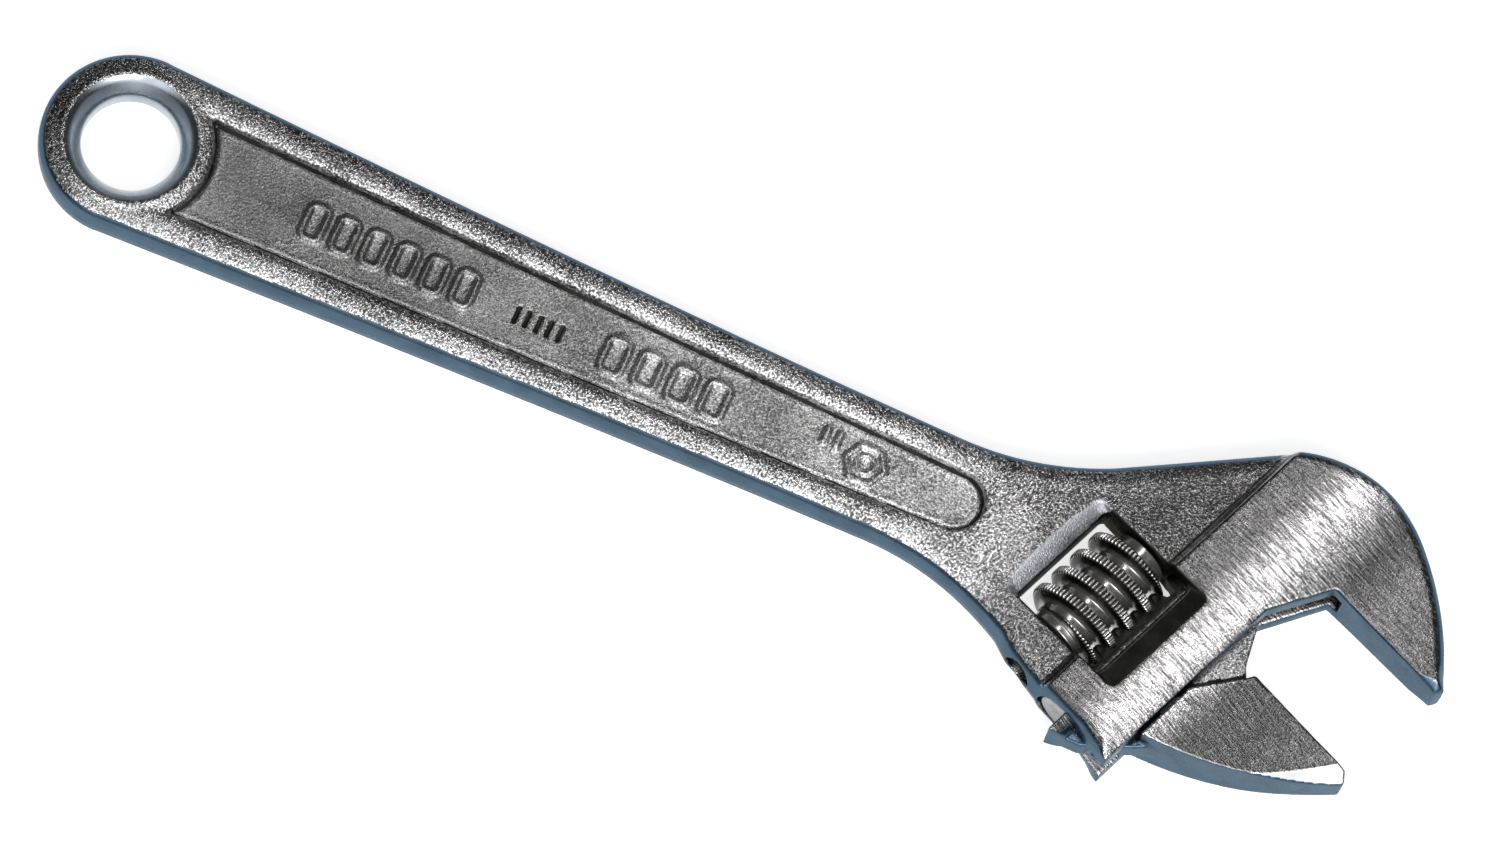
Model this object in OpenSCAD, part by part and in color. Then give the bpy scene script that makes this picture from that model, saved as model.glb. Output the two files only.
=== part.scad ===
// Adjustable wrench with a forged handle, a sliding jaw and a knurled adjusting worm.
// Origin: centre of the hanging hole, on the mid-plane. +X runs along the handle to the head.
// The head is drawn in its own frame, turned clockwise: local x runs out of the jaws and
// local y is the direction in which the movable jaw slides when it closes.

/* [Handle] */
// Radius of the round end about the hanging hole
end_r = 12.5; // [12:0.1:13]
// Radius of the hanging hole at its narrowest
hole_r = 6.7; // [6:0.1:7.5]
// Radius of the hanging hole at each face
hole_mouth_r = 8; // [7.6:0.1:8.6]
// Half width of the handle where it is narrowest
waist_w = 8.9; // [8.5:0.1:9.3]
// Distance from the hanging hole to the narrowest place
waist_x = 115; // [113:0.5:117]
// Thickness of the handle over its ribs
handle_t = 7; // [6.5:0.1:7.5]
// Thickness left between the two recessed panels
panel_t = 4.4; // [4:0.1:5]
// Height of the raised marks above the panel
mark_h = 0.5; // [0.3:0.05:0.8]

/* [Head] */
// Clockwise turn of the jaws against the handle
head_turn = 22.5; // [22:0.1:23]
// Full thickness of the ground head at its crown
head_t = 11.5; // [11.2:0.1:11.8]
// Distance between the jaw faces at rest
jaw_gap = 16.5; // [14:0.1:17]
// Running gap between the slide face and the movable jaw
slide_gap = 0.5; // [0.4:0.05:0.6]
// Radius of the bore that guides the rail
rail_bore_r = 3.75; // [3.72:0.01:3.8]
// Radius of the rail
rail_r = 3.62; // [3.58:0.01:3.65]
// Width of the keyway that the web slides in
keyway_w = 4.4; // [4.2:0.05:4.6]
// Thickness of the web between the rail and the jaw
web_t = 4; // [3.8:0.05:4.1]

/* [Adjusting worm] */
// Outside radius of the worm over its knurled crests
worm_r = 6.6; // [6.5:0.05:6.65]
// Radius of the worm at the root of the thread
worm_root_r = 4.2; // [4.1:0.05:4.25]
// Axial distance between two turns of the thread
worm_pitch = 3.5; // [3.5]
// Axial width of a crest
crest_w = 1; // [0.8:0.05:1.1]
// Radius of the pin that the worm turns on
pin_r = 1.6; // [1.5:0.05:1.65]
// Running clearance of the worm on its pin
pin_clearance = 0.07; // [0.04:0.01:0.09]

/* [Hidden] */
$fn = 48;

// Head frame: places along the jaws (v) and along the slide (u)
slide_v = 151.6;             // slide face
jaw_tip_v = 174.9;           // end of the fixed jaw's face
fixed_jaw_u = 74.7;          // face of the fixed jaw
movable_jaw_u = fixed_jaw_u - jaw_gap;
hex_low_u = 65.8;            // start of the slanted relief in the fixed jaw
hex_v = 155.9;               // where the relief meets the fixed jaw face
corner_u = 34.9;             // lower end of the slide face
back_centre = [151.5, 70.8]; // round back of the fixed jaw
back_r = 19.4;
nose_r = 45;                 // flatter run from the round back to the tip
nose_start = 65;
nose_end = 39;
rail_v = 142.3;              // axis of the rail
bore_end_u = 82;             // blind end of the rail bore
worm_v = 134.1;              // axis of the worm and of its pin
pad_v = 138.3;               // step from the neck to the ground head

// Worm window
window_low_u = 43;
window_high_u = 60.6;
window_left_v = 126.7;
window_right_v = 141.6;
left_flare_z = 2.6;          // heights over the mid-plane where the sides start to open out
right_flare_z = 3.7;
left_flare = 1.75;           // run of each flare for a unit of rise
right_flare = 1.6;

// Worm
worm_low_u = 43.3;
worm_high_u = 60.2;
thread_low_u = 44.3;
thread_high_u = 58.3;
crest_u = 43.9;              // where the first crest crosses the front of the worm
crest_taper = 0.65;          // axial width of one flank
slices_per_turn = 18;
spring_seat_r = 3.1;
spring_seat_depth = 4.6;

// Pin
pin_head_r = 2.2;
pin_head_low_u = 37.9;
pin_head_high_u = 40.4;
pin_end_u = 68;

// Neck
neck_r = 45;                 // hollow between the handle and the fixed jaw
neck_x = 118.5;
neck_turn = 26.6;
throat_r = 42;               // hollow between the handle and the lower wall
throat_x = 112;
throat_turn = 30.4;

function arc(centre, r, from, to, steps = 10) =
    [for (i = [0:steps]) centre + r * [cos(from + (to - from) * i / steps), sin(from + (to - from) * i / steps)]];
function half_width(x) = waist_w + (end_r - 0.05 - waist_w) * pow((waist_x - x) / waist_x, 1.37);
function mirrored(half) = concat(half, [for (i = [len(half) - 1:-1:0]) [half[i][0], -half[i][1]]]);
function to_head(p) = [p[0] * cos(head_turn) - p[1] * sin(head_turn), p[0] * sin(head_turn) + p[1] * cos(head_turn)];

module in_head_frame() {
    rotate([0, 0, -head_turn]) children();
}

// Round bar along the slide direction, from u0 to u1 on the axis at v
module slide_rod(v, u0, u1, r) {
    translate([v, u0, 0]) rotate([-90, 0, 0]) cylinder(h = u1 - u0, r = r);
}

// ---- wrench body ----

module handle_plan() {
    upper = concat([for (i = [0:12]) [waist_x * i / 12, half_width(waist_x * i / 12)]],
                   arc([neck_x, waist_w + neck_r], neck_r, -90, -90 + neck_turn));
    lower = concat([for (i = [0:11]) [waist_x * i / 12, -half_width(waist_x * i / 12)]],
                   arc([throat_x, -waist_w - throat_r], throat_r, 90, 90 - throat_turn));
    polygon(concat(upper, [[150, 16], [146, -18]], [for (i = [len(lower) - 1:-1:0]) lower[i]]));
    circle(r = end_r);
}

module head_plan() {
    nose_centre = back_centre + (back_r - nose_r) * [cos(nose_start), sin(nose_start)];
    upper_neck = to_head([neck_x + neck_r * sin(neck_turn), waist_w + neck_r * (1 - cos(neck_turn))]);
    lower_neck = to_head([throat_x + throat_r * sin(throat_turn), -waist_w - throat_r * (1 - cos(throat_turn))]);
    polygon(concat(
        [lower_neck, upper_neck],
        arc(back_centre, back_r, 138, nose_start, 12),
        arc(nose_centre, nose_r, nose_start, nose_end, 8),
        [[jaw_tip_v, fixed_jaw_u], [hex_v, fixed_jaw_u], [slide_v, hex_low_u], [slide_v, corner_u]],
        [[145.6, 35.3], [139, 35.5], [131.5, 36.5]]));
}

// Side view of the forging: thickness along the jaws, in the head frame
module thickness_profile() {
    rib = handle_t / 2;
    crown = head_t / 2;
    polygon(mirrored([[-30, rib], [113, rib], [124, rib + 0.4], [130, rib + 0.8], [pad_v - 0.3, rib + 1.1],
                      [pad_v + 0.3, crown - 0.25], [146, crown], [149, crown], [slide_v, crown - 0.3],
                      [156, crown - 0.95], [160, crown - 1.3], [jaw_tip_v + 2, crown - 1.75]]));
}

module forging_blank() {
    intersection() {
        linear_extrude(height = 2 * head_t, center = true) {
            handle_plan();
            in_head_frame() head_plan();
        }
        in_head_frame() translate([0, 120, 0]) rotate([90, 0, 0])
            linear_extrude(height = 240) thickness_profile();
    }
}

module hanging_hole() {
    land = 3;
    flare = (handle_t - land) / 2;
    cylinder(h = handle_t + 2, r = hole_r, center = true);
    for (side = [0, 1]) mirror([0, 0, side])
        translate([0, 0, land / 2]) cylinder(h = flare + 0.1, r1 = hole_r, r2 = hole_mouth_r);
}

module panel_plan() {
    panel_left = 9;
    panel_right = 120.8;
    panel_end_r = 4.3;
    panel_start_r = 11.2;
    left_w = 7.4;
    difference() {
        union() {
            polygon([[panel_left - 2, -left_w], [panel_right, -panel_end_r], [panel_right, panel_end_r],
                     [panel_left - 2, left_w]]);
            translate([panel_right, 0]) circle(r = panel_end_r);
        }
        circle(r = panel_start_r);
    }
}

module rounded_frame(w, h, stroke, corner_r) {
    difference() {
        rounded_box(w, h, corner_r);
        rounded_box(w - 2 * stroke, h - 2 * stroke, corner_r - stroke * 0.6);
    }
}

module rounded_box(w, h, r) {
    square([w - 2 * r, h], center = true);
    square([w, h - 2 * r], center = true);
    for (x = [-1, 1], y = [-1, 1])
        translate([x * (w / 2 - r), y * (h / 2 - r)]) circle(r = r);
}

// Plain raised marks: two rows of frames, a nut outline and two bars
module raised_marks() {
    for (i = [0:5]) translate([27.2 + 4.4 * i, -0.2]) rounded_frame(3.4, 5.6, 0.75, 1.2);
    for (i = [0:3]) translate([71.4 + 4.9 * i, -0.5]) rounded_frame(3.8, 5.6, 0.75, 1.3);
    translate([108, -0.3]) difference() {
        circle(r = 3.1, $fn = 6);
        circle(r = 1.7);
    }
    for (x = [101.6, 103.4]) translate([x, 1.4]) rounded_box(0.8, 2.6, 0.39);
}

module engraved_ticks() {
    for (i = [0:4]) translate([57 + 1.6 * i, -0.6]) square([0.45, 2.6], center = true);
}

module panels() {
    for (side = [0, 1]) mirror([0, 0, side])
        translate([0, 0, panel_t / 2]) linear_extrude(height = handle_t) panel_plan();
}

module marks() {
    for (side = [0, 1]) mirror([0, 0, side])
        translate([0, 0, panel_t / 2 - 0.1]) linear_extrude(height = mark_h + 0.1) raised_marks();
}

module ticks() {
    for (side = [0, 1]) mirror([0, 0, side])
        translate([0, 0, panel_t / 2 - 0.25]) linear_extrude(height = 1) engraved_ticks();
}

// Opening for the worm, flared towards both faces
module worm_window() {
    top_z = 7;
    left_top_v = window_left_v - left_flare * (top_z - left_flare_z);
    right_top_v = window_right_v + right_flare * (top_z - right_flare_z);
    translate([0, window_high_u, 0]) rotate([90, 0, 0])
        linear_extrude(height = window_high_u - window_low_u)
            polygon([[left_top_v, top_z], [window_left_v, left_flare_z], [window_left_v, -left_flare_z],
                     [left_top_v, -top_z], [right_top_v, -top_z], [window_right_v, -right_flare_z],
                     [window_right_v, right_flare_z], [right_top_v, top_z]]);
}

// Slot for the web, closed at the top by a slanted floor
module keyway() {
    linear_extrude(height = keyway_w, center = true)
        polygon([[rail_v, 25], [rail_v, bore_end_u], [slide_v - 0.4, bore_end_u], [157.4, fixed_jaw_u],
                 [157.4, 25]]);
}

module wrench_body() {
    color("silver") {
        difference() {
            forging_blank();
            hanging_hole();
            panels();
            in_head_frame() {
                slide_rod(rail_v, 25, bore_end_u, rail_bore_r);
                keyway();
                worm_window();
                slide_rod(worm_v, pin_head_low_u, pin_end_u + 1, pin_r);
                slide_rod(worm_v, 30, pin_head_high_u, pin_head_r);
            }
            ticks();
        }
        marks();
    }
}

// ---- movable jaw ----

module jaw_plan() {
    left_v = slide_v + slide_gap;
    belly_centre = [133.7, 93.3];
    belly_r = 55.4;
    belly_end = -acos((left_v - belly_centre[0]) / belly_r);
    polygon(concat(
        [[left_v, movable_jaw_u - 7.8], [hex_v + 0.6, movable_jaw_u - 0.8], [hex_v + 1, movable_jaw_u]],
        [[174.2, movable_jaw_u], [175.3, movable_jaw_u - 1.1]],
        arc(belly_centre, belly_r, -41.4, belly_end, 10)));
}

module web_plan() {
    polygon([[rail_v + 0.6, 33], [147.3, 34.8], [152.2, 39.6], [157, 45], [hex_v + 0.6, movable_jaw_u - 0.8],
             [154.7, movable_jaw_u + 1.1], [slide_v + 0.1, movable_jaw_u + 6.6], [rail_v, movable_jaw_u + 6.6]]);
}

module jaw_thickness() {
    crown = head_t / 2;
    polygon(mirrored([[150, crown - 0.1], [153, crown - 0.2], [158, crown - 0.7], [165, crown - 1.4],
                      [jaw_tip_v + 1, crown - 1.8]]));
}

// Tooth spaces along the rail, slanted to suit the helix of the worm
module rack_spaces() {
    slant = atan(worm_pitch / (2 * PI * 5.95));
    root_v = worm_v + worm_r + 0.25;
    tip_v = rail_v - rail_r - 0.3;
    root_w = crest_w / 2 + 0.22;
    mesh_u = crest_u + worm_pitch / 4;
    flank = crest_taper / (worm_r - worm_root_r) * (root_v - tip_v);
    for (i = [-2:5]) translate([0, mesh_u + worm_pitch * i, 0]) rotate([slant, 0, 0])
        linear_extrude(height = 2 * rail_r + 2, center = true)
            polygon([[root_v, -root_w], [root_v, root_w], [tip_v, root_w + flank], [tip_v, -root_w - flank]]);
}

module movable_jaw() {
    color("silver") in_head_frame() {
        intersection() {
            linear_extrude(height = 2 * head_t, center = true) jaw_plan();
            translate([0, 120, 0]) rotate([90, 0, 0]) linear_extrude(height = 240) jaw_thickness();
        }
        linear_extrude(height = web_t, center = true) web_plan();
        difference() {
            slide_rod(rail_v, 36.2, movable_jaw_u + 4.8, rail_r);
            rack_spaces();
        }
        intersection() {
            slide_rod(rail_v, 30, 37, rail_r);
            linear_extrude(height = head_t, center = true)
                polygon([[rail_v + 0.6, 33], [147.3, 34.8], [147.3, 37], [rail_v + 0.6, 37]]);
        }
    }
}

// ---- adjusting worm ----

function spread(from, to, count) = [for (i = [0:count - 1]) from + (to - from) * i / count];

// Radius of the thread at an axial distance from the middle of its crest
function thread_radius(offset) =
    max(worm_root_r, worm_r - max(0, abs(offset) - crest_w / 2) * (worm_r - worm_root_r) / crest_taper);

// Cross-section of the threaded part, square to its axis, with the crest at the angle start
module thread_section(start) {
    crest_angle = 180 * crest_w / worm_pitch;
    root_angle = crest_angle + 360 * crest_taper / worm_pitch;
    angles = concat(spread(-crest_angle, crest_angle, 6), spread(crest_angle, root_angle, 4),
                    spread(root_angle, 360 - root_angle, 6), spread(360 - root_angle, 360 - crest_angle, 4));
    polygon([for (a = angles)
        thread_radius((a > 180 ? 360 - a : a) * worm_pitch / 360) * [cos(a + start), sin(a + start)]]);
}

module adjusting_worm() {
    length = thread_high_u - thread_low_u;
    start = 360 * (thread_low_u - crest_u) / worm_pitch;
    bore_r = pin_r + pin_clearance;
    color("dimgray") in_head_frame() translate([worm_v, 0, 0]) rotate([-90, -90, 0]) {
        difference() {
            union() {
                translate([0, 0, thread_low_u]) linear_extrude(
                    height = length, twist = -360 * length / worm_pitch,
                    slices = round(slices_per_turn * length / worm_pitch), $fn = 20) thread_section(start);
                translate([0, 0, worm_low_u]) cylinder(h = worm_high_u - worm_low_u, r = worm_root_r - 0.3);
            }
            translate([0, 0, worm_low_u - 1]) cylinder(h = worm_high_u - worm_low_u + 2, r = bore_r);
            translate([0, 0, worm_high_u - spring_seat_depth]) cylinder(h = spring_seat_depth + 1, r = spring_seat_r);
        }
    }
}

// ---- pin and spring ----

module worm_pin() {
    slot_w = 0.8;
    slot_depth = 0.9;
    color("darkgray") in_head_frame() {
        difference() {
            slide_rod(worm_v, pin_head_low_u, pin_head_high_u, pin_head_r);
            translate([worm_v - 3, pin_head_low_u - 1, -slot_w / 2]) cube([6, 1 + slot_depth, slot_w]);
        }
        slide_rod(worm_v, pin_head_high_u, pin_end_u, pin_r);
    }
}

// Small coil spring that keeps the worm from turning by itself
module worm_spring() {
    wire_r = 0.28;
    coil_r = 2.45;
    turns = 4;
    ring_steps = 18;
    sides = 6;
    low_u = worm_high_u - spring_seat_depth + 0.1 + wire_r;
    high_u = window_high_u - 0.02 - wire_r;
    steps = turns * ring_steps;
    points = [for (i = [0:steps], k = [0:sides - 1])
        let (angle = 360 * i / ring_steps, around = 360 * k / sides, r = coil_r + wire_r * cos(around))
        [r * cos(angle), r * sin(angle), low_u + (high_u - low_u) * i / steps + wire_r * sin(around)]];
    walls = [for (i = [0:steps - 1], k = [0:sides - 1])
        let (a = sides * i + k, b = sides * i + (k + 1) % sides)
        each [[a, a + sides, b + sides], [a, b + sides, b]]];
    color("gray") in_head_frame() translate([worm_v, 0, 0]) rotate([-90, -90, 0])
        polyhedron(points = points, faces = concat(walls, [[for (k = [0:sides - 1]) k]],
                                                   [[for (k = [sides - 1:-1:0]) sides * steps + k]]));
}

wrench_body();
movable_jaw();
adjusting_worm();
worm_pin();
worm_spring();
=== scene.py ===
"""Adjustable wrench: detailed forging, jaw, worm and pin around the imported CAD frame.

Shapes are written as distance fields in millimetres and turned into meshes. The head has its own
axes: v runs out of the jaws, u is the direction in which the movable jaw closes.
"""
import math

import bpy
import numpy as np
import openvdb as vdb
from mathutils import Matrix, Vector


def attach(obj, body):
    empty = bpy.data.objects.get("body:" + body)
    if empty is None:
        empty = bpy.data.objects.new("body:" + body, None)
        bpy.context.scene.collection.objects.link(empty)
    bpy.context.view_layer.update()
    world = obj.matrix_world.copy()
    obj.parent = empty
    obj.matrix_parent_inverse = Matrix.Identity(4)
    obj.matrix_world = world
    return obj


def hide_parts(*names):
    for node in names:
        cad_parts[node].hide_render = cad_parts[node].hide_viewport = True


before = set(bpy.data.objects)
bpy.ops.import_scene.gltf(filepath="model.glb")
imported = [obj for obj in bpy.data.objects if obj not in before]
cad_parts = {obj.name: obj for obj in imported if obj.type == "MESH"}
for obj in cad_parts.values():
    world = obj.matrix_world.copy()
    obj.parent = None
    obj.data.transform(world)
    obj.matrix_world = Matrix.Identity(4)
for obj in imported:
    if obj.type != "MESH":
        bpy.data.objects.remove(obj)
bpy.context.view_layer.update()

MM = 0.001
HEAD_TURN = math.radians(22.5)
V_AXIS = (math.cos(HEAD_TURN), -math.sin(HEAD_TURN))
U_AXIS = (math.sin(HEAD_TURN), math.cos(HEAD_TURN))

# Sizes of the forging, in millimetres
HOLE_R, HOLE_MOUTH_R, END_R = 6.7, 8.6, 12.5
WAIST_W, WAIST_X = 8.9, 115.0
RIB_Z, PANEL_Z, CROWN_Z = 3.5, 2.2, 5.75
SLIDE_V, TIP_V = 151.6, 174.9
FIXED_JAW_U, MOVABLE_JAW_U, JAW_LEFT_V = 74.7, 58.2, 152.1
BELLY_V, BELLY_U, BELLY_R = 133.7, 93.3, 55.4
PAD_V = 138.3
RAIL_V, RAIL_R, BORE_R, BORE_END_U = 142.3, 3.62, 3.75, 82.0
WORM_V, WORM_R, ROOT_R, PITCH = 134.1, 6.6, 4.2, 3.5
CREST_W, CREST_U, FLANK_W, KNURLS = 1.0, 43.9, 0.65, 64
WINDOW = {"left": 126.7, "right": 141.6, "low": 43.0, "high": 60.6}
LEFT_FLARE_Z, RIGHT_FLARE_Z, RIGHT_ARRIS_Z = 2.6, 3.4, 4.3
WEB_Z, KEYWAY_Z, KEYWAY_V = 2.0, 2.2, 157.4
THREAD_ENDS, HUB_ENDS = (44.3, 58.3), (43.3, 60.2)
PIN_HEAD_R, PIN_R, HEAD_HOLE_R, PIN_HOLE_R = 2.2, 1.6, 2.3, 1.7
HEAD_HOLE_END_U, PIN_HOLE_END_U = 40.4, 69

# Zones of the body and of the jaw, in the order of their materials
BLASTED, PANEL, GROUND, WALL, RECESS, SLOPE, FUNNEL, ARRIS_HIGHLIGHT, PAINTED_SHADE = range(9)
JAW_FACE, JAW_WALL, JAW_RAIL, JAW_BEVEL, JAW_WEB, JAW_PAINTED_SHADE = range(6)


# ---- small geometry kit ----

def arc(centre, radius, start, end, steps=14):
    """Points on an arc, angles in degrees."""
    angles = np.radians(np.linspace(start, end, steps))
    return np.stack([centre[0] + radius * np.cos(angles), centre[1] + radius * np.sin(angles)], 1)


def to_head(x, y):
    """Plan coordinates in the head's axes (v, u)."""
    return x * V_AXIS[0] + y * V_AXIS[1], x * U_AXIS[0] + y * U_AXIS[1]


def from_head(points):
    """Head points (v, u) in plan coordinates."""
    points = np.asarray(points, float)
    return points[:, :1] * np.array(V_AXIS) + points[:, 1:] * np.array(U_AXIS)


def outline_distance(outline, x, y):
    """Signed distance to a closed outline, negative inside."""
    nearest = np.full(np.broadcast(x, y).shape, 1e9, np.float32)
    inside = np.zeros(nearest.shape, bool)
    for (ax, ay), (bx, by) in zip(outline, np.roll(outline, -1, 0)):
        ex, ey = bx - ax, by - ay
        length = ex * ex + ey * ey
        if length < 1e-12:
            continue
        t = np.clip(((x - ax) * ex + (y - ay) * ey) / length, 0, 1)
        nearest = np.minimum(nearest, (x - ax - t * ex) ** 2 + (y - ay - t * ey) ** 2)
        if ey:
            inside ^= ((ay > y) != (by > y)) & (x < ax + (y - ay) / ey * ex)
    return np.where(inside, -1, 1) * np.sqrt(nearest)


def line_distance(points, x, y):
    """Distance to an open chain of points."""
    nearest = np.full(np.broadcast(x, y).shape, 1e9, np.float32)
    for (ax, ay), (bx, by) in zip(points[:-1], points[1:]):
        ex, ey = bx - ax, by - ay
        t = np.clip(((x - ax) * ex + (y - ay) * ey) / (ex * ex + ey * ey), 0, 1)
        nearest = np.minimum(nearest, (x - ax - t * ex) ** 2 + (y - ay - t * ey) ** 2)
    return np.sqrt(nearest)


def meet(a, b, radius):
    """Both fields together, with a rounded edge where they meet."""
    corner = np.hypot(np.maximum(radius + a, 0), np.maximum(radius + b, 0))
    return np.minimum(-radius, np.maximum(a, b)) + corner


def join(a, b, radius):
    """Either field, with a fillet in the corner between them."""
    return -meet(-a, -b, radius)


def cut(solid, hole, radius):
    """The solid without the hole, with a rounded rim."""
    return meet(solid, -hole, radius)


def smoothstep(x, low, high):
    """An eased climb from 0 at low to 1 at high."""
    t = np.clip((x - low) / (high - low), 0, 1)
    return t * t * (3 - 2 * t)


def profile(at, points, blur):
    """A smooth curve through a few heights, read at the given places."""
    points = np.asarray(points, float)
    fine = np.arange(points[0, 0] - 12, points[-1, 0] + 12, 0.1)
    heights = np.interp(fine, points[:, 0], points[:, 1])
    reach = np.arange(-int(30 * blur), int(30 * blur) + 1) * 0.1
    weights = np.exp(-0.5 * (reach / blur) ** 2)
    soft = np.convolve(np.pad(heights, len(reach) // 2, mode="edge"), weights / weights.sum(), "valid")
    return np.interp(at, fine, soft)


def rounded_box(x, y, half_x, half_y, radius):
    """Signed distance to a centred rectangle with rounded corners."""
    qx, qy = np.abs(x) - half_x + radius, np.abs(y) - half_y + radius
    return np.hypot(np.maximum(qx, 0), np.maximum(qy, 0)) + np.minimum(np.maximum(qx, qy), 0) - radius


def axes_grid(low, high, step):
    """Three open axes of a grid, ready to broadcast."""
    counts = [int(math.ceil((end - start) / step)) + 1 for start, end in zip(low, high)]
    x, y, z = (np.arange(n, dtype=np.float32) * step + start for n, start in zip(counts, low))
    return x[:, None, None], y[None, :, None], z[None, None, :]


def mesh_from_field(name, field, low, step, keep=1.0, to_plan=None):
    """Turns a distance field into a closed mesh object, thinned to the share of faces to keep."""
    grid = vdb.FloatGrid(3 * step)
    grid.copyFromArray(np.clip(np.ascontiguousarray(field, dtype=np.float32), -3 * step, 3 * step))
    points, quads = grid.convertToQuads(isovalue=0.0)
    points = points * step + np.asarray(low)
    if to_plan is not None:
        points = to_plan(points)
    mesh = bpy.data.meshes.new(name)
    mesh.from_pydata((points * MM).tolist(), [], quads.tolist())
    piece = bpy.data.objects.new(name, mesh)
    bpy.context.scene.collection.objects.link(piece)
    if keep < 1:
        thin = piece.modifiers.new("thin", "DECIMATE")
        thin.ratio = keep
        evaluated = piece.evaluated_get(bpy.context.evaluated_depsgraph_get())
        piece.data = bpy.data.meshes.new_from_object(evaluated)
        piece.modifiers.clear()
        bpy.data.meshes.remove(mesh)
        piece.data.name = name
    piece.data.shade_smooth()
    return piece


def head_points_to_plan(points):
    """Moves mesh points from the head's axes (v, u, z) to plan axes."""
    out = points.copy()
    out[:, :2] = from_head(points[:, :2])
    return out


# ---- wrench body ----

def handle_half_width(x):
    """Half the handle's width, from the neck's waist to the round end."""
    return WAIST_W + (END_R - 0.05 - WAIST_W) * np.clip((WAIST_X - x) / WAIST_X, 0, 1) ** 1.37


def body_outline():
    """The forging's outline on its mid-plane: the outer run, the jaw's inner run and the lower wall."""
    neck_x, neck_r, neck_turn = 118.5, 45.0, 26.6
    throat_x, throat_r, throat_turn = 112.0, 42.0, 30.4
    back_centre, back_r, nose_r = np.array([151.5, 70.8]), 19.4, 45.0
    nose_start, nose_end = 65.0, 39.0
    join_x = 0.6
    join_angle = math.degrees(math.acos(join_x / END_R))
    nose_angle = math.radians(nose_start)
    nose_centre = back_centre + (back_r - nose_r) * np.array([math.cos(nose_angle), math.sin(nose_angle)])
    upper_x = np.linspace(join_x, WAIST_X, 16)
    lower_x = np.linspace(join_x, throat_x - 6, 16)
    outer = np.concatenate([
        arc((throat_x, -WAIST_W - throat_r), throat_r, 90 - throat_turn, 90),
        np.stack([lower_x, -handle_half_width(lower_x)], 1)[::-1],
        arc((0, 0), END_R, -join_angle, join_angle - 360, 48)[1:-1],
        np.stack([upper_x, handle_half_width(upper_x)], 1),
        arc((neck_x, WAIST_W + neck_r), neck_r, -90, -90 + neck_turn),
        from_head(arc(back_centre, back_r, 138, nose_start, 24)),
        from_head(arc(nose_centre, nose_r, nose_start, nose_end, 16)),
    ])
    inner = from_head([[TIP_V, FIXED_JAW_U], [155.9, FIXED_JAW_U], [SLIDE_V, 65.8], [SLIDE_V, 34.9]])
    wall = from_head([[145.6, 35.3], [139, 35.5], [131.5, 36.5]])
    return outer, inner, wall


def panel_distance(x, y):
    """Plan distance to the recessed panel, negative inside."""
    left_w, right_x, right_r, start_x, start_r = 7.4, 120.8, 4.3, 7.0, 11.2
    sides = np.array([[start_x, -left_w], [right_x, -right_r], [right_x, right_r], [start_x, left_w]])
    blunt = outline_distance(sides, x, y)
    whole = np.minimum(blunt, np.hypot(x - right_x, y) - right_r)
    return meet(whole, start_r - np.hypot(x, y), 0.3)


def marks_distance(x, y):
    """Plan distance to the raised marks: plain frames, a nut outline and two bars."""
    stroke = 0.36
    frames = [(27.2 + 4.4 * i, -0.2, 1.7, 2.8) for i in range(6)]
    frames += [(71.4 + 4.9 * i, -0.5, 1.9, 2.8) for i in range(4)]
    nearest = np.full(np.broadcast(x, y).shape, 1e9, np.float32)
    for cx, cy, half_x, half_y in frames:
        box = rounded_box(x - cx, y - cy, half_x - stroke, half_y - stroke, 0.9)
        nearest = np.minimum(nearest, np.abs(box) - stroke)
    hexagon = outline_distance(arc((108, -0.3), 2.8, 0, 300, 6), x, y)
    nearest = np.minimum(nearest, np.abs(hexagon) - stroke)
    nearest = np.minimum(nearest, np.abs(np.hypot(x - 108, y + 0.3) - 1.25) - 0.25)
    for bar_x in (101.6, 103.4):
        nearest = np.minimum(nearest, rounded_box(x - bar_x, y - 1.4, 0.4, 1.3, 0.39))
    return nearest


def ticks_distance(x, y):
    """Plan distance to five small stamped strokes."""
    return np.minimum.reduce([rounded_box(x - 57 - 1.6 * i, y + 0.6, 0.24, 1.3, 0.1) for i in range(5)])


def body_face_height(x, y, v, inside, panel):
    """Height of the front face above the mid-plane. inside is the distance in from the outline."""
    rib_w, bead_w = 2.9, 1.4
    handle = profile(v, [(-30, RIB_Z), (113, RIB_Z), (124, 3.9), (130, 4.25), (PAD_V, 4.65),
                         (180, 4.65)], 2.0)
    rib = np.clip(rib_w - inside, 0, rib_w)
    handle = handle - 0.07 * rib - 0.055 * rib ** 2
    bead = np.clip(bead_w - panel, 0, bead_w) * (1 - smoothstep(x, 112, 124))
    handle = handle - 0.05 * bead - 0.17 * bead ** 2
    handle = handle - 1.1 * smoothstep(x, 110, 128) * (1 - np.exp(-((y / 14) ** 2)))
    ring = np.hypot(x, y)
    handle = handle + 0.2 * np.exp(-((ring - 9.3) / 0.5) ** 2)
    pad = profile(v, [(136, 5.3), (139, 5.4), (143, 5.57), (148.7, CROWN_Z), (152, 5.55), (156, 4.95),
                      (160, 4.57), (170, 4.25), (177, 4.0)], 1.3)
    tip_bevel = np.clip(1.5 * smoothstep(v, 170.5, 175) - inside, 0, 9)
    pad = pad - 0.6 * tip_bevel
    step = smoothstep(v, PAD_V - 0.5, PAD_V + 0.6)
    height = handle + (pad - handle) * step

    wall = smoothstep(panel, -0.28, 0.05)
    groove = 0.34 * np.exp(-((panel + 0.4) / 0.2) ** 2) - 0.09 * np.exp(-((panel + 0.95) / 0.28) ** 2)
    floor = PANEL_Z + 0.42 * smoothstep(-marks_distance(x, y), -0.22, 0.14)
    floor = floor - 0.35 * smoothstep(-ticks_distance(x, y), -0.12, 0.12) - groove
    return floor + (height - floor) * wall


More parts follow.
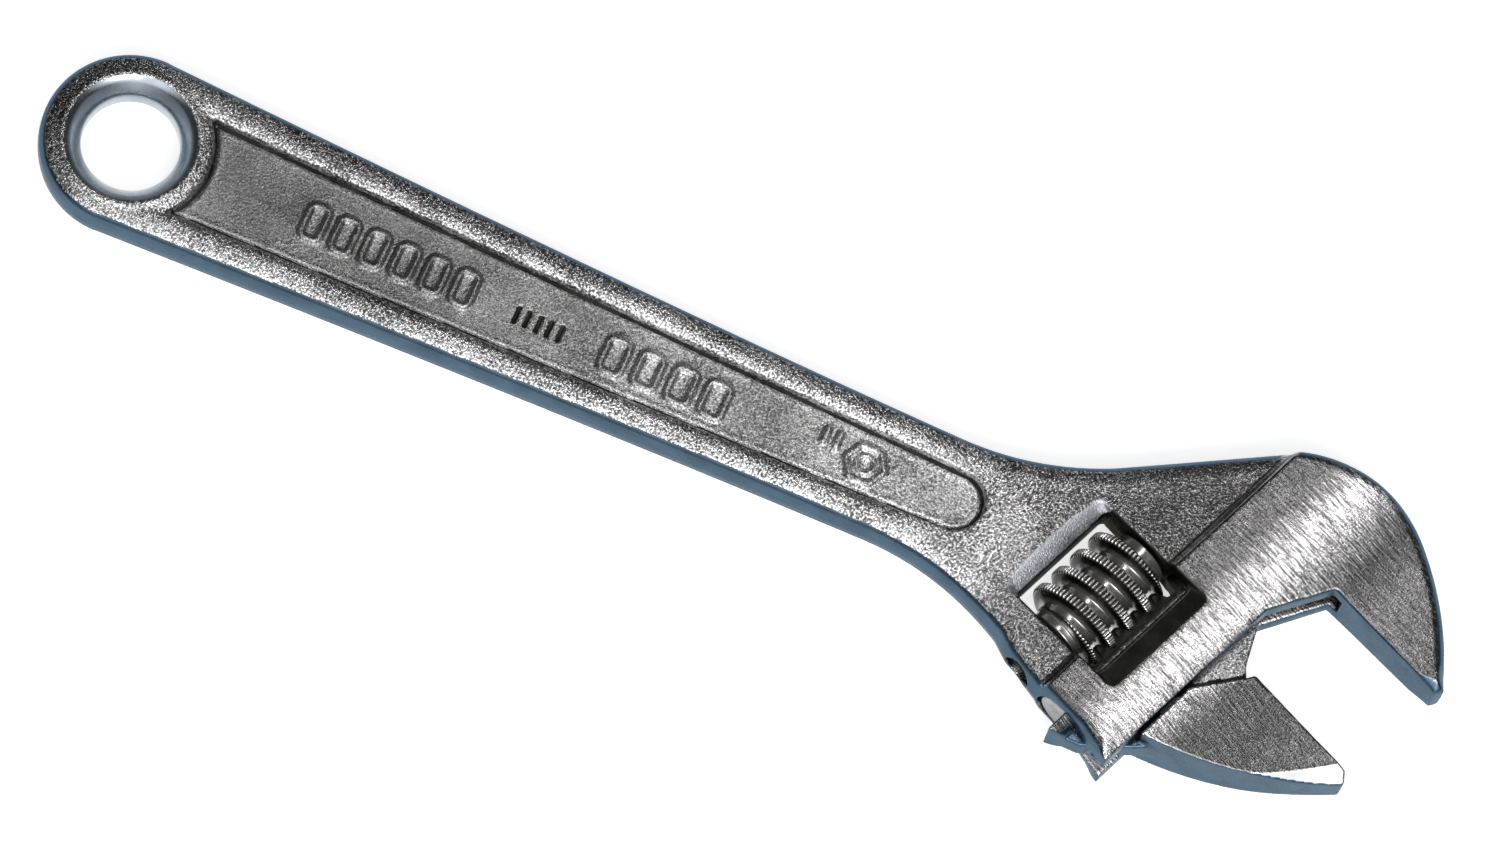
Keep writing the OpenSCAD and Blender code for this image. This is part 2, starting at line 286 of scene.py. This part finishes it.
def window_distance(v, u, z):
    """The worm window, whose left and right walls open out towards the faces."""
    left = WINDOW["left"] - 1.75 * np.maximum(np.abs(z) - LEFT_FLARE_Z, 0)
    right = WINDOW["right"] + 0.9 * np.maximum(np.abs(z) - RIGHT_FLARE_Z, 0)
    right = right + 1.1 * np.maximum(np.abs(z) - RIGHT_ARRIS_Z, 0)
    flare = 0.12 * np.maximum(np.abs(z) - 3.2, 0)
    return rounded_box(v - (left + right) / 2, u - (WINDOW["low"] + WINDOW["high"]) / 2, (right - left) / 2,
                       (WINDOW["high"] - WINDOW["low"]) / 2 + flare, 1.0)


def build_body(step):
    """The forging: handle, head and fixed jaw, with its hole, window, bore, keyway and pin hole."""
    low, high = (-13.6, -27.2, -6.4), (192.4, 27.8, 6.4)
    x, y, z = axes_grid(low, high, step)
    v, u = to_head(x, y)
    outer, inner, wall = body_outline()
    plan = outline_distance(np.concatenate([outer, inner, wall]), x, y)
    crisp = smoothstep(line_distance(inner, x, y), 0.4, 3.0)
    face = body_face_height(x, y, v, -plan, panel_distance(x, y))
    by_rail_end = smoothstep(v, 122, 134) * smoothstep(-u, -44, -38) * smoothstep(-v, -150, -145)
    draft = (0.07 * crisp + 0.12 * by_rail_end) * np.maximum(np.abs(z) - 0.3, 0)
    rounding = 0.35 + (0.75 + 0.5 * smoothstep(v, 136, 146)) * crisp
    field = meet(plan + draft, (np.abs(z) - face) * 0.93, rounding)

    ring = np.hypot(x, y)
    mouth = HOLE_R + (HOLE_MOUTH_R - HOLE_R) * np.clip((np.abs(z) - 1.2) / 2.3, 0, 1.3) ** 1.2
    field = cut(field, (ring - mouth) * 0.8, 0.4)
    field = cut(field, window_distance(v, u, z), 0.3)

    bore = np.maximum(np.hypot(v - RAIL_V, z) - BORE_R, u - BORE_END_U)
    field = cut(field, bore, 0.2)
    keyway = np.array([[RAIL_V, 20], [RAIL_V, BORE_END_U], [SLIDE_V - 0.4, BORE_END_U],
                       [KEYWAY_V, FIXED_JAW_U], [KEYWAY_V, 20]])
    field = cut(field, np.maximum(outline_distance(keyway, v, u), np.abs(z) - KEYWAY_Z), 0.2)
    from_pin = np.hypot(v - WORM_V, z)
    head_hole = np.maximum(from_pin - HEAD_HOLE_R, u - HEAD_HOLE_END_U)
    pin_hole = np.maximum(from_pin - PIN_HOLE_R, u - PIN_HOLE_END_U)
    field = cut(field, np.minimum(head_hole, pin_hole), 0.12)
    return mesh_from_field("wrench_body_forging", field, low, step, keep=0.45)


# ---- movable jaw ----

def jaw_outer_edge():
    """Tip and belly of the movable jaw, from its face round to the slide."""
    belly_end = -math.degrees(math.acos((JAW_LEFT_V - BELLY_V) / BELLY_R))
    tip = [[174.2, MOVABLE_JAW_U], [175.3, MOVABLE_JAW_U - 1.1]]
    return np.concatenate([tip, arc((BELLY_V, BELLY_U), BELLY_R, -41.4, belly_end, 20)])


def jaw_outline():
    """The movable jaw's outline beyond the slide, without its web."""
    top = MOVABLE_JAW_U
    return np.concatenate([[[JAW_LEFT_V, top - 7.8], [156.5, top - 0.8], [156.9, top]], jaw_outer_edge()])


def bevel_depth(v, u):
    """How far a place lies inside the bevel along the belly at the tip, negative outside it."""
    from_belly = BELLY_R - np.hypot(v - BELLY_V, u - BELLY_U)
    return 2.9 * smoothstep(v, 163.5, 175) ** 1.2 - from_belly


def build_jaw(step):
    """The movable jaw, its web and its round rail with rack teeth."""
    low, high = (137.6, 30.4, -6.2), (176.4, 66.4, 6.2)
    v, u, z = axes_grid(low, high, step)
    top = MOVABLE_JAW_U
    plan = outline_distance(jaw_outline(), v, u)
    face = profile(v, [(150, 5.6), (153, 5.5), (158, 5.05), (165, 4.4), (170, 4.1), (177, 3.95)], 1.2)
    face = face - 0.5 * np.clip(bevel_depth(v, u), 0, 9)
    jaw = meet(plan, (np.abs(z) - face) * 0.95, 0.14)

    web_outline = np.array([[RAIL_V + 0.6, 33], [147.3, 34.8], [152.2, 39.6], [157, 45], [156.5, top - 0.8],
                            [154.7, top + 1.1], [SLIDE_V + 0.1, top + 6.6], [RAIL_V, top + 6.6]])
    web = meet(outline_distance(web_outline, v, u), np.abs(z) - WEB_Z, 0.2)
    from_rail = np.hypot(v - RAIL_V, z)
    rail = meet(from_rail - RAIL_R, np.abs(u - 49.6) - 13.4, 0.4)
    mesh_r = 5.95
    lean = PITCH / (2 * math.pi * mesh_r)
    along = (u + lean * z - CREST_U - PITCH / 4 + PITCH / 2) % PITCH - PITCH / 2
    root_v = WORM_V + WORM_R + 0.25
    half = CREST_W / 2 + 0.24 + (root_v - v) * FLANK_W / (WORM_R - ROOT_R)
    spaces = meet((np.abs(along) - half) * 0.96, v - root_v, 0.3)
    rail = cut(rail, spaces, 0.12)
    stub_outline = np.array([[RAIL_V + 0.6, 33], [147.3, 34.8], [147.3, 38], [RAIL_V + 0.6, 38]])
    stub = meet(outline_distance(stub_outline, v, u), from_rail - RAIL_R, 0.2)
    jaw_and_web = join(jaw, web, 0.4)
    jaw_and_web = cut(jaw_and_web, np.maximum(v - JAW_LEFT_V + 0.05, WEB_Z - np.abs(z)), 0.1)
    field = np.minimum(join(rail, jaw_and_web, 0.2), stub)
    return mesh_from_field("movable_jaw_forging", field, low, step, 0.6, head_points_to_plan)


# ---- adjusting worm ----

def build_worm(step):
    """The thumb worm: a right-hand thread with knurled crests on a bored hub."""
    knurl_depth = 0.36
    reach = WORM_R + 0.5
    low, high = (WORM_V - reach, 42.8, -reach), (WORM_V + reach, 60.7, reach)
    v, u, z = axes_grid(low, high, step)
    angle = np.arctan2(v - WORM_V, z)
    radius = np.hypot(v - WORM_V, z)
    along = (u - CREST_U - PITCH * angle / (2 * math.pi) + PITCH / 2) % PITCH - PITCH / 2
    ridge = 1 - np.abs(np.sin(angle * KNURLS / 2))
    crest = radius - WORM_R + knurl_depth * (1 - ridge)
    flank = (np.abs(along) - CREST_W / 2 - (WORM_R - radius) * FLANK_W / (WORM_R - ROOT_R)) * 0.96
    thread = meet(crest, flank, 0.12)
    thread = join(thread, radius - ROOT_R, 0.3)
    end = np.maximum(THREAD_ENDS[0] - u, u - THREAD_ENDS[1])
    thread = meet(thread, end, 0.1)
    thread = meet(thread, (radius + end - WORM_R + 0.7) * 0.7, 0.1)
    hub_end = np.maximum(HUB_ENDS[0] - u, u - HUB_ENDS[1])
    hub = meet(radius - ROOT_R + 0.2, hub_end, 0.15)
    field = join(thread, hub, 0.15)
    pin_bore_r, spring_r, spring_u = 1.68, 3.1, 55.6
    bore = np.minimum(radius - pin_bore_r, np.maximum(radius - spring_r, spring_u - u))
    field = cut(field, bore, 0.1)
    return mesh_from_field("adjusting_worm_knurled", field, low, step, 0.45, head_points_to_plan)


# ---- worm pin ----

def build_pin(step):
    """The worm's axle: a slotted head, a plain shank and a threaded end."""
    low, high = (WORM_V - 2.6, 37.4, -2.6), (WORM_V + 2.6, 68.6, 2.6)
    v, u, z = axes_grid(low, high, step)
    radius = np.hypot(v - WORM_V, z)
    head = meet(radius - PIN_HEAD_R, np.abs(u - 39.15) - 1.25, 0.25)
    slot = np.maximum(np.abs(z) - 0.4, u - 38.8)
    head = cut(head, slot, 0.1)
    thread_pitch = 0.5
    turn = 2 * math.pi * u / thread_pitch - np.arctan2(v - WORM_V, z)
    thread_depth = 0.16 * (0.5 + 0.5 * np.cos(turn))
    shank_r = PIN_R - thread_depth * smoothstep(u, 60.6, 61.2)
    shank = meet(radius - shank_r, np.abs(u - 53.5) - 14.5, 0.3)
    field = np.minimum(head, shank)
    return mesh_from_field("worm_pin_screw", field, low, step, 0.5, head_points_to_plan)


# ---- materials ----

def new_material(name):
    """A material with nodes, its tree and its shader."""
    material = bpy.data.materials.new(name)
    material.use_nodes = True
    tree = material.node_tree
    shader = tree.nodes["Principled BSDF"]
    return material, tree, shader


def node(tree, kind, **settings):
    """A new node; each setting is an input's value or one of the node's own options."""
    made = tree.nodes.new(kind)
    for key, value in settings.items():
        if key in made.inputs:
            made.inputs[key].default_value = value
        else:
            setattr(made, key, value)
    return made


def head_coordinates(tree, scale):
    """Object coordinates turned to the head's axes and scaled from metres."""
    coordinates = node(tree, "ShaderNodeTexCoord")
    turned = node(tree, "ShaderNodeMapping", Rotation=(0, 0, HEAD_TURN))
    scaled = node(tree, "ShaderNodeMapping", Scale=scale)
    tree.links.new(coordinates.outputs["Object"], turned.inputs["Vector"])
    tree.links.new(turned.outputs["Vector"], scaled.inputs["Vector"])
    return scaled.outputs["Vector"]


def noise(tree, vector, scale, detail=2.0, roughness=0.5):
    made = node(tree, "ShaderNodeTexNoise", Scale=scale, Detail=detail, Roughness=roughness)
    tree.links.new(vector, made.inputs["Vector"])
    return made.outputs["Fac"]


def spread(tree, value, low, high, to_low, to_high, curve="LINEAR"):
    """The value's range from low to high, mapped on to_low to to_high and held at the ends."""
    made = node(tree, "ShaderNodeMapRange", interpolation_type=curve)
    made.inputs["From Min"].default_value = low
    made.inputs["From Max"].default_value = high
    made.inputs["To Min"].default_value = to_low
    made.inputs["To Max"].default_value = to_high
    tree.links.new(value, made.inputs["Value"])
    return made.outputs["Result"]


def combine(tree, a, b, operation="ADD"):
    """One step of arithmetic on a socket; b is a socket or a plain number."""
    made = node(tree, "ShaderNodeMath", operation=operation)
    tree.links.new(a, made.inputs[0])
    if isinstance(b, bpy.types.NodeSocket):
        tree.links.new(b, made.inputs[1])
    else:
        made.inputs[1].default_value = b
    return made.outputs[0]


def bump(tree, shader, height, distance):
    """Roughens the shader's surface by a height of 0 to 1 times the distance in metres."""
    made = node(tree, "ShaderNodeBump", Strength=1.0, Distance=distance)
    tree.links.new(height, made.inputs["Height"])
    tree.links.new(made.outputs["Normal"], shader.inputs["Normal"])


def tint(tree, shader, value, dark, light):
    """Colours the shader from dark at 0 to light at 1."""
    mix = node(tree, "ShaderNodeMix", data_type="RGBA")
    mix.inputs["A"].default_value = (*dark, 1)
    mix.inputs["B"].default_value = (*light, 1)
    tree.links.new(value, mix.inputs["Factor"])
    tree.links.new(mix.outputs["Result"], shader.inputs["Base Color"])


def painted_light_along(tree, points):
    """Painted light and shade: a smooth factor that follows a few (v in mm, tone) pairs across the head."""
    parts = node(tree, "ShaderNodeSeparateXYZ")
    tree.links.new(head_coordinates(tree, (1000, 1000, 1000)), parts.inputs[0])
    total = None
    for (low, tone), (high, after) in zip(points[:-1], points[1:]):
        change = spread(tree, parts.outputs["X"], low, high, 0, after - tone, "SMOOTHSTEP")
        total = change if total is None else combine(tree, total, change)
    return combine(tree, total, points[0][1])


def blasted_chrome(name, grain_mm, depth_mm, dark, light, rough, painted_shading):
    """Chrome over a blasted forging: pebbly grain with small bright facets, and painted light and shade
    along the head.
    """
    material, tree, shader = new_material(name)
    place = head_coordinates(tree, (1000, 1000, 1000))
    grain = noise(tree, place, 1 / grain_mm, 2.0, 0.55)
    fine = noise(tree, place, 2.6 / grain_mm, 1.0)
    patches = noise(tree, place, 0.12, 3.0)
    height = combine(tree, grain, combine(tree, fine, 0.35, "MULTIPLY"))
    bump(tree, shader, height, depth_mm * MM)
    shade = combine(tree, combine(tree, grain, 1.3, "MULTIPLY"), combine(tree, patches, 0.5, "MULTIPLY"))
    shade = spread(tree, shade, 0.72, 1.1, 0, 1)
    tint(tree, shader, combine(tree, shade, painted_light_along(tree, painted_shading), "MULTIPLY"), dark, light)
    tree.links.new(spread(tree, fine, 0.3, 0.7, rough[0], rough[1]), shader.inputs["Roughness"])
    shader.inputs["Metallic"].default_value = 1.0
    return material


def linished_chrome(name, dark, light, painted_shading):
    """Chrome over a ground face: fine streaks across the head with a little grain, and painted light and
    shade along the head.
    """
    material, tree, shader = new_material(name)
    along = head_coordinates(tree, (420, 3600, 420))
    long_streaks = head_coordinates(tree, (130, 2200, 130))
    round_grain = head_coordinates(tree, (1000, 1000, 1000))
    streaks = noise(tree, along, 1.0, 3.0, 0.6)
    bands = noise(tree, long_streaks, 1.0, 2.0)
    grain = noise(tree, round_grain, 3.2, 2.0)
    height = combine(tree, combine(tree, streaks, combine(tree, bands, 0.8, "MULTIPLY")),
                     combine(tree, grain, 0.45, "MULTIPLY"))
    bump(tree, shader, height, 0.08 * MM)
    shade = combine(tree, streaks, combine(tree, grain, 0.35, "MULTIPLY"))
    shade = spread(tree, shade, 0.52, 0.86, 0.1, 1)
    tint(tree, shader, combine(tree, shade, painted_light_along(tree, painted_shading), "MULTIPLY"), dark, light)
    tree.links.new(spread(tree, grain, 0.3, 0.7, 0.16, 0.28), shader.inputs["Roughness"])
    shader.inputs["Metallic"].default_value = 1.0
    return material


def smooth_chrome(name, dark, light, rough=(0.22, 0.34), edge=(1, 1, 1)):
    """Smooth plated metal with faint clouds; edge is how strongly it mirrors at a grazing angle."""
    material, tree, shader = new_material(name)
    place = head_coordinates(tree, (1000, 1000, 1000))
    clouds = noise(tree, place, 0.25, 3.0)
    pores = noise(tree, place, 2.4, 2.0)
    bump(tree, shader, pores, 0.006 * MM)
    tint(tree, shader, spread(tree, clouds, 0.35, 0.65, 0, 1), dark, light)
    tree.links.new(spread(tree, pores, 0.3, 0.7, rough[0], rough[1]), shader.inputs["Roughness"])
    shader.inputs["Metallic"].default_value = 1.0
    shader.inputs["Specular Tint"].default_value = (*edge, 1)
    return material


def worm_chrome(name):
    """Rolled chrome with painted light and shade: mid-grey roots, flanks painted near black as shade, and
    crests painted light on the knurl's ridges and dark in its grooves.
    """
    material, tree, shader = new_material(name)
    parts = node(tree, "ShaderNodeSeparateXYZ")
    tree.links.new(head_coordinates(tree, (1000, 1000, 1000)), parts.inputs[0])
    across = combine(tree, parts.outputs["X"], WORM_V, "SUBTRACT")
    forward = parts.outputs["Z"]
    across_square = combine(tree, across, across, "MULTIPLY")
    forward_square = combine(tree, forward, forward, "MULTIPLY")
    radius = combine(tree, combine(tree, across_square, forward_square), 0.5, "POWER")
    turn = combine(tree, combine(tree, across, forward, "ARCTAN2"), KNURLS / 2, "MULTIPLY")
    groove = combine(tree, combine(tree, turn, 0, "SINE"), 0, "ABSOLUTE")
    # Painted highlight on the knurl's ridges and painted shade in its grooves; painted shade on the flanks.
    stripes = spread(tree, groove, 0.4, 0.8, 1.0, 0.04)
    flank = spread(tree, radius, ROOT_R + 0.35, ROOT_R + 1.0, 0.4, 0.02)
    on_crest = spread(tree, radius, WORM_R - 0.6, WORM_R - 0.4, 0, 1)
    level = node(tree, "ShaderNodeMix", data_type="FLOAT")
    tree.links.new(on_crest, level.inputs["Factor"])
    tree.links.new(flank, level.inputs["A"])
    tree.links.new(stripes, level.inputs["B"])
    tint(tree, shader, level.outputs["Result"], (0, 0, 0), (1, 0.98, 0.93))
    pores = noise(tree, head_coordinates(tree, (1000, 1000, 1000)), 1.4, 2.0)
    bump(tree, shader, pores, 0.02 * MM)
    tree.links.new(spread(tree, pores, 0.3, 0.7, 0.16, 0.28), shader.inputs["Roughness"])
    shader.inputs["Metallic"].default_value = 0.86
    return material


def assign_by_rule(piece, materials, rule):
    """Gives every face the index that rule returns for its centre (mm) and normal."""
    for material in materials:
        piece.data.materials.append(material)
    count = len(piece.data.polygons)
    centres = np.empty(count * 3, np.float32)
    normals = np.empty(count * 3, np.float32)
    piece.data.polygons.foreach_get("center", centres)
    piece.data.polygons.foreach_get("normal", normals)
    index = rule(centres.reshape(-1, 3) / MM, normals.reshape(-1, 3))
    piece.data.polygons.foreach_set("material_index", index.astype(np.int32))
    piece.data.update()


def body_zones(centres, normals):
    """The zone of each face of the forging."""
    x, y, z = centres.T
    v, u = to_head(x, y)
    panel = panel_distance(x, y)
    facing = np.abs(normals[:, 2])
    zone = np.full(len(x), BLASTED)
    zone[panel < -0.35] = PANEL
    zone[v > PAD_V + 0.1] = GROUND

    across, along = to_head(normals[:, 0], normals[:, 1])
    by_step = (np.abs(v - PAD_V) < 0.9) & (np.abs(across) > np.abs(along))
    wall_lean = np.where(y > 0, 0.88, 0.8)
    # Painted reflection: steep walls take a blue-grey chrome, as if mirroring cool surroundings.
    zone[(facing < wall_lean) & (panel > 0.6) & ~by_step] = WALL
    zone[(facing < 0.4) & by_step] = WALL
    # Painted shade: a thin dark line at the foot of the pad's step.
    step_foot = np.abs(v - PAD_V + 0.45) < 0.14
    zone[step_foot & (facing > 0.7)] = RECESS

    # Painted shade: the panel's groove and the stamped strokes are coloured near black, as if shade fell in
    # them.
    panel_groove = np.abs(panel + 0.36) < 0.16
    zone[panel_groove | (ticks_distance(x, y) < 0.08)] = PAINTED_SHADE
    # Painted reflection: the hole's funnel is coloured a lighter blue-grey than the walls.
    zone[np.hypot(x, y) < HOLE_MOUTH_R + 0.4] = FUNNEL

    # Painted shade: the window's inside is coloured dark.
    in_window = window_distance(v, u, z) < 0.25
    zone[in_window] = RECESS
    # Painted highlight: a thin light line along the right wall's arris, in the pin's lighter steel.
    on_arris = np.abs(np.abs(z) - RIGHT_ARRIS_Z) < 0.07
    zone[in_window & on_arris & (v > WINDOW["right"])] = ARRIS_HIGHLIGHT
    # Painted light: the window's flared left wall, which faces the light, is coloured pale.
    zone[in_window & (v < WINDOW["left"] + 0.4) & (np.abs(z) > LEFT_FLARE_Z)] = SLOPE

    # Painted shade inside the bore and the pin hole.
    bore_mouth_u, hole_mouth_u = 37.2, 37.6
    in_bore = (np.hypot(v - RAIL_V, z) < BORE_R + 0.25) & (u < BORE_END_U + 0.5)
    zone[in_bore & ~in_window & (u > bore_mouth_u)] = RECESS
    in_pin_hole = (np.hypot(v - WORM_V, z) < HEAD_HOLE_R + 0.2) & (u < 42)
    zone[in_pin_hole & (u > hole_mouth_u)] = RECESS
    return zone


def jaw_zones(centres, normals):
    """The zone of each face of the movable jaw."""
    x, y, z = centres.T
    v, u = to_head(x, y)
    facing = np.abs(normals[:, 2])
    # Painted reflection: steep faces get the blue-grey wall chrome.
    zone = np.where(facing < 0.8, JAW_WALL, JAW_FACE)
    # Painted shade: a dark band on the web along the jaw's edge, as if the jaw shaded it.
    beside_jaw = np.abs(outline_distance(jaw_outline(), v, u) - 0.57) < 0.7
    by_web = (u > MOVABLE_JAW_U - 9) & (v < KEYWAY_V - 0.2)
    zone[by_web & (np.abs(z) < WEB_Z + 0.3)] = JAW_WEB
    zone[by_web & (np.abs(z) < WEB_Z + 0.6) & beside_jaw] = JAW_PAINTED_SHADE
    zone[(np.abs(z) < WEB_Z + 0.6) & (u < 46) & (v < 157)] = JAW_WALL
    # Painted shade: the rail in the window is coloured near black.
    zone[(v < WINDOW["right"] - 0.3) & (u > 36.7)] = JAW_RAIL
    rail_rim = np.abs(u - 36.2) < 0.45
    zone[rail_rim & (v < 146)] = JAW_FACE
    # Painted highlight: the bevel along the belly near the tip is coloured pale.
    zone[(facing > 0.8) & (bevel_depth(v, u) > 0.05) & (v > 163)] = JAW_BEVEL
    return zone


# ---- camera, stage and light ----

def view_axes(side, tilt, slope):
    """Camera right, up and back axes, for a view from straight above leaned by side and tilt degrees."""
    back = Vector((math.tan(math.radians(side)), math.tan(math.radians(tilt)), 1)).normalized()
    up = (Vector((0, 1, 0)) - back * back.y).normalized()
    right = up.cross(back)
    turn = Matrix.Rotation(-math.radians(slope), 3, "Z")
    return [turn @ axis for axis in (right, up, back)]


def add_camera():
    """A long lens 1.4 m away, aimed at the middle of the wrench."""
    right, up, back = view_axes(side=-5.3, tilt=-17.5, slope=-23.2)
    target = Vector((91.95, -1.64, 0)) * MM
    distance = 1400 * MM
    camera = bpy.data.objects.new("camera", bpy.data.cameras.new("camera"))
    camera.data.sensor_fit = "HORIZONTAL"
    camera.data.sensor_width = 36
    camera.data.lens = 250
    camera.data.clip_start = 0.05
    turn = Matrix((right, up, back)).transposed().to_4x4()
    camera.matrix_world = Matrix.Translation(target + back * distance) @ turn
    bpy.context.scene.collection.objects.link(camera)
    bpy.context.scene.camera = camera


def add_floor():
    """A wide pale floor that glows a little, just under the wrench."""
    half, height = 1.6, -6.75 * MM
    corners = [(x, y, height) for x, y in ((-half, -half), (half, -half), (half, half), (-half, half))]
    mesh = bpy.data.meshes.new("floor")
    mesh.from_pydata(corners, [], [(0, 1, 2, 3)])
    floor = bpy.data.objects.new("floor", mesh)
    bpy.context.scene.collection.objects.link(floor)
    material, _, shader = new_material("pale_floor")
    shader.inputs["Base Color"].default_value = (0.93, 0.93, 0.93, 1)
    shader.inputs["Roughness"].default_value = 0.9
    shader.inputs["Specular IOR Level"].default_value = 0.1
    shader.inputs["Emission Color"].default_value = (1, 1, 1, 1)
    shader.inputs["Emission Strength"].default_value = 0.6
    mesh.materials.append(material)


def add_area_light(name, aim, offset, size, power, turn=0.0):
    """A soft box at offset from the aim, facing it and turned about its own axis; all in metres."""
    data = bpy.data.lights.new(name, "AREA")
    data.shape = "RECTANGLE"
    data.size, data.size_y = size
    data.energy = power
    light = bpy.data.objects.new(name, data)
    light.location = aim + offset
    facing = (-offset).to_track_quat("-Z", "Y").to_matrix()
    light.rotation_euler = (facing @ Matrix.Rotation(turn, 3, "Z")).to_euler()
    bpy.context.scene.collection.objects.link(light)


def add_world(centre, near, far, bright, dim, horizon):
    """A soft studio dome: bright within near degrees of the centre direction, dim beyond far degrees, with a
    band of the given strength round the horizon."""
    world = bpy.data.worlds.new("studio")
    world.use_nodes = True
    tree = world.node_tree
    direction = node(tree, "ShaderNodeTexCoord").outputs["Generated"]
    facing = node(tree, "ShaderNodeVectorMath", operation="DOT_PRODUCT")
    facing.inputs[1].default_value = Vector(centre).normalized()
    tree.links.new(direction, facing.inputs[0])
    edge, core = math.cos(math.radians(far)), math.cos(math.radians(near))
    level = spread(tree, facing.outputs["Value"], edge, core, dim, bright, "SMOOTHERSTEP")
    parts = node(tree, "ShaderNodeSeparateXYZ")
    tree.links.new(direction, parts.inputs[0])
    level = combine(tree, level, spread(tree, parts.outputs["Z"], 0.15, 0.4, horizon, 0, "SMOOTHERSTEP"))
    background = tree.nodes["Background"]
    background.inputs["Color"].default_value = (0.97, 0.985, 1.0, 1)
    tree.links.new(level, background.inputs["Strength"])
    bpy.context.scene.world = world


# ---- the scene ----

add_camera()
add_floor()
wrench_middle = Vector((0.1, 0, 0))
add_area_light("key", wrench_middle, Vector((0.35, -0.6, 0.95)), size=(0.5, 0.4), power=3.6)
add_area_light("strip", wrench_middle, Vector((0.06, 0.40, 1.25)), size=(0.09, 0.55), power=2.1,
               turn=-HEAD_TURN)
add_world(centre=(0.2, -0.6, 0.78), near=8, far=50, bright=1.9, dim=0.06, horizon=0.3)
bpy.context.scene.view_settings.view_transform = "Standard"

# The tone lists paint light and shade along the head: lighter and darker stretches of handle and neck, and a
# panel brightening toward the head.
blasted_metal = blasted_chrome(
    "blasted_chrome", grain_mm=0.34, depth_mm=0.11, dark=(0.07, 0.068, 0.065), light=(0.86, 0.85, 0.86),
    rough=(0.14, 0.26), painted_shading=[(-15, 0.8), (5, 0.8), (30, 0.95), (70, 1.0), (112, 1.12), (120, 1.0),
                               (127, 0.52), (137, 0.45)])
panel_metal = blasted_chrome(
    "panel_chrome", grain_mm=0.3, depth_mm=0.1, dark=(0.17, 0.168, 0.164), light=(0.88, 0.875, 0.87),
    rough=(0.2, 0.34), painted_shading=[(0, 0.3), (40, 0.36), (75, 0.66), (110, 1.0)])
# Painted light: a pale blasted chrome for the lit left wall of the window.
slope_light_paint = blasted_chrome(
    "slope_painted_light", grain_mm=0.26, depth_mm=0.12, dark=(0.4, 0.41, 0.45), light=(0.74, 0.75, 0.8),
    rough=(0.3, 0.4), painted_shading=[(120, 1.0), (128, 1.0)])
# Painted highlight: the ground tones peak in a bright band along the crown and darken beyond it.
ground_metal = linished_chrome(
    "ground_chrome", dark=(0.09, 0.088, 0.088), light=(0.92, 0.9, 0.905),
    painted_shading=[(142.5, 0.2), (149, 1.3), (151.5, 1.3), (157, 0.26), (172, 0.21)])
# Painted reflection: the side walls' chrome is tinted blue-grey, as if mirroring cool surroundings.
wall_reflection_paint = smooth_chrome(
    "smooth_wall_painted_reflection", (0.058, 0.094, 0.13), (0.076, 0.122, 0.17), edge=(0.58, 0.62, 0.65))
# Painted highlight for the jaw tip's bevel.
bevel_highlight_paint = smooth_chrome("bevel_painted_highlight", (0.55, 0.56, 0.58), (0.72, 0.73, 0.75), (0.2, 0.3))
# Painted reflection for the hole's funnel.
funnel_reflection_paint = smooth_chrome("funnel_painted_reflection", (0.3, 0.34, 0.38), (0.38, 0.42, 0.46), (0.18, 0.26))
# Painted shade for the window, the bore, the pin hole and the foot of the step.
recess_shade_paint = smooth_chrome(
    "recess_painted_shade", (0.06, 0.06, 0.052), (0.13, 0.13, 0.115), (0.3, 0.45), (0.2, 0.2, 0.2))
# Painted shade, used for the panel's groove, the stamped strokes and the web beside the jaw.
painted_shade_line = smooth_chrome(
    "painted_shade_line", (0.02, 0.02, 0.018), (0.05, 0.05, 0.045), (0.5, 0.6), (0.1, 0.1, 0.1))
# Painted shade for the rail inside the window.
rail_steel_painted_shade = smooth_chrome(
    "rail_steel_painted_shade", (0.08, 0.082, 0.075), (0.15, 0.155, 0.14), (0.3, 0.45), (0.3, 0.3, 0.3))
pin_steel = smooth_chrome("pin_steel", (0.3, 0.29, 0.27), (0.42, 0.4, 0.38), (0.3, 0.4))
worm_steel = worm_chrome("worm_steel")

body = build_body(step=0.25)
# The pin's steel also paints the highlight on the window's arris.
body_metals = [blasted_metal, panel_metal, ground_metal, wall_reflection_paint, recess_shade_paint, slope_light_paint, funnel_reflection_paint,
               pin_steel, painted_shade_line]
assign_by_rule(body, body_metals, body_zones)
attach(body, "body")
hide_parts("wrench_body")

jaw = build_jaw(step=0.2)
jaw_metals = [ground_metal, wall_reflection_paint, rail_steel_painted_shade, bevel_highlight_paint, panel_metal, painted_shade_line]
assign_by_rule(jaw, jaw_metals, jaw_zones)
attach(jaw, "jaw")
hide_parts("movable_jaw")

worm = build_worm(step=0.09)
worm.data.materials.append(worm_steel)
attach(worm, "worm")
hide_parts("adjusting_worm")

pin = build_pin(step=0.15)
pin.data.materials.append(pin_steel)
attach(pin, "body")
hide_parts("worm_pin")

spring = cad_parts["worm_spring"]
spring.data.materials.clear()
spring.data.materials.append(pin_steel)
